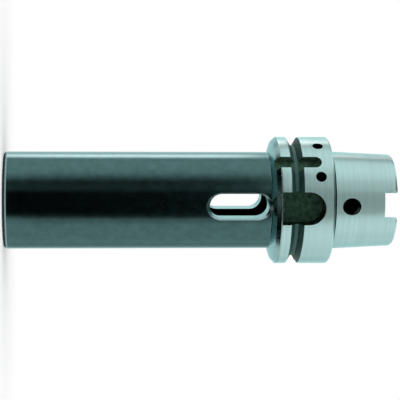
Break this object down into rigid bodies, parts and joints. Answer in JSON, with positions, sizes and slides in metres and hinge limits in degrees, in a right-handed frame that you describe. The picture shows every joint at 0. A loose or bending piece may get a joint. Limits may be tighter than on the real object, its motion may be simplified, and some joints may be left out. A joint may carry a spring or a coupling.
{
  "type": "morse taper adapter",
  "caption": "Turned steel adapter: a hollow taper shank and a gripper flange at one end, and a Morse taper socket with a drift slot through its long cylindrical body.",
  "frame": {"origin": "centre of the nose face, which the piece stands on", "axes": "+Z along the turning axis, from the nose to the end of the taper shank; -Y is the side of the narrow gripper slot, the shallow driving slot and one mouth of the drift slot; +X is the side of the data carrier pocket"},
  "size_m": [0.063, 0.063, 0.192],
  "materials": {
    "hardened_steel": "ground satin on the taper, contact face and flange, black oxide on the body, in the slots and in the groove"
  },
  "bodies": {
    "root": {"adapter_body": "hardened_steel"}
  },
  "joints": []
}
